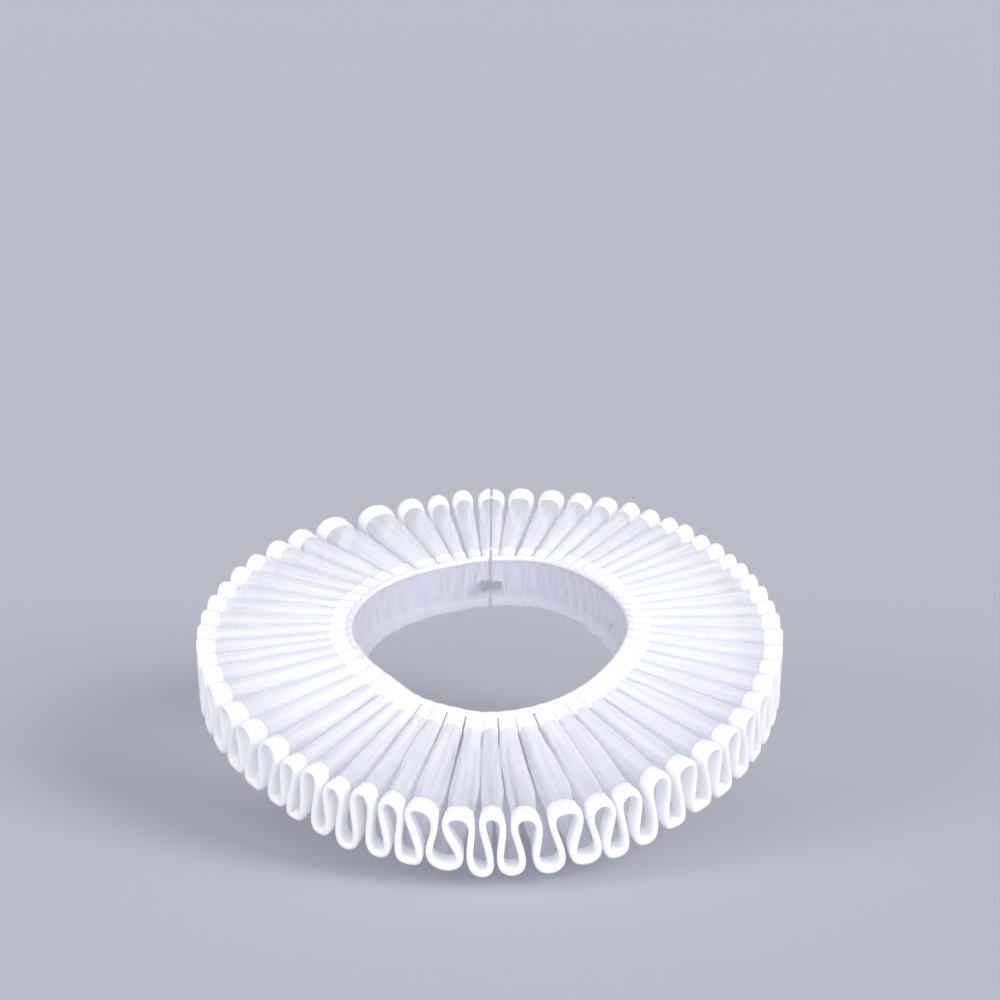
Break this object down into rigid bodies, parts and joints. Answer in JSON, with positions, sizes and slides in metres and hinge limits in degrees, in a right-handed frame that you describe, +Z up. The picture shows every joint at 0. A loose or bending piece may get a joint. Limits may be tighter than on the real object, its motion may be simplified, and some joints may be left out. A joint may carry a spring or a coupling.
{
  "type": "ruff collar",
  "caption": "Round ruff collar: a sheer strip with white ribbon edges, set in deep figure-of-eight loops round a neckband, worn tipped forward.",
  "frame": {"origin": "middle of the neck opening, at half the neckband's height, where the wearer's neck holds the collar", "axes": "+Z up as worn, -Y to the wearer's front, +X to the right of someone facing the wearer; the collar is tipped 20 degrees down at the front"},
  "size_m": [0.296, 0.2914, 0.1317],
  "materials": {
    "organza": "sheer crisp organza with a soft sheen",
    "edge_satin": "white satin ribbon",
    "heading_satin": "white satin ribbon, pleated",
    "band_organza": "sheer organza, cut double",
    "closure_steel": "nickel plated"
  },
  "bodies": {
    "root": {"ruffle_back_left": "organza", "ruffle_front_left": "organza", "ruffle_front_right": "organza", "ruffle_back_right": "organza", "edge_ribbon": "edge_satin", "heading_ribbon": "heading_satin", "neckband": "band_organza", "neck_hook": "closure_steel", "neck_bar": "closure_steel"}
  },
  "joints": []
}
